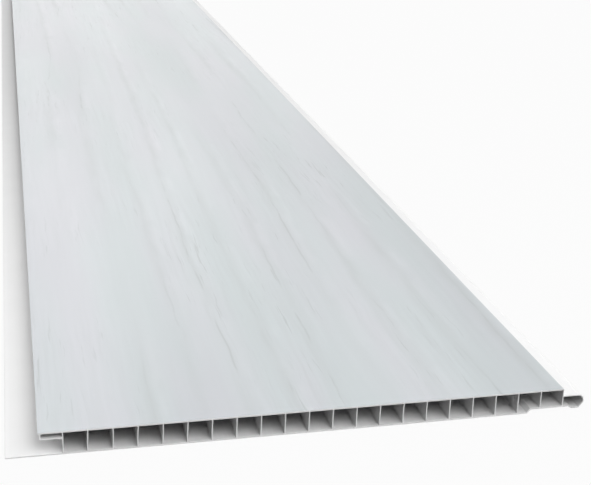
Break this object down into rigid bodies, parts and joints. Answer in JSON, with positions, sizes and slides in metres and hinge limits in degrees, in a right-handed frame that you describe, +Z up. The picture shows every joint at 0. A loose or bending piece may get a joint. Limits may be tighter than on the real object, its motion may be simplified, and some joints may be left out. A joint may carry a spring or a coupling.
{
  "type": "hollow pvc panel",
  "caption": "Hollow extruded PVC ceiling and wall panel with a smooth face, a screw flange under a hollow lip on one long edge and a hollow tongue on the other.",
  "frame": {"origin": "on the floor, under the middle of the width and halfway along the length", "axes": "+Y along the panel, away from the end that the picture shows; +X across it, towards the tongue; +Z up, out of the decorated face"},
  "size_m": [0.2198, 3, 0.009],
  "materials": {
    "pvc": "satin pale grey face with a faint lengthwise grain, plain white body"
  },
  "bodies": {
    "root": {"pvc_panel": "pvc"}
  },
  "joints": []
}
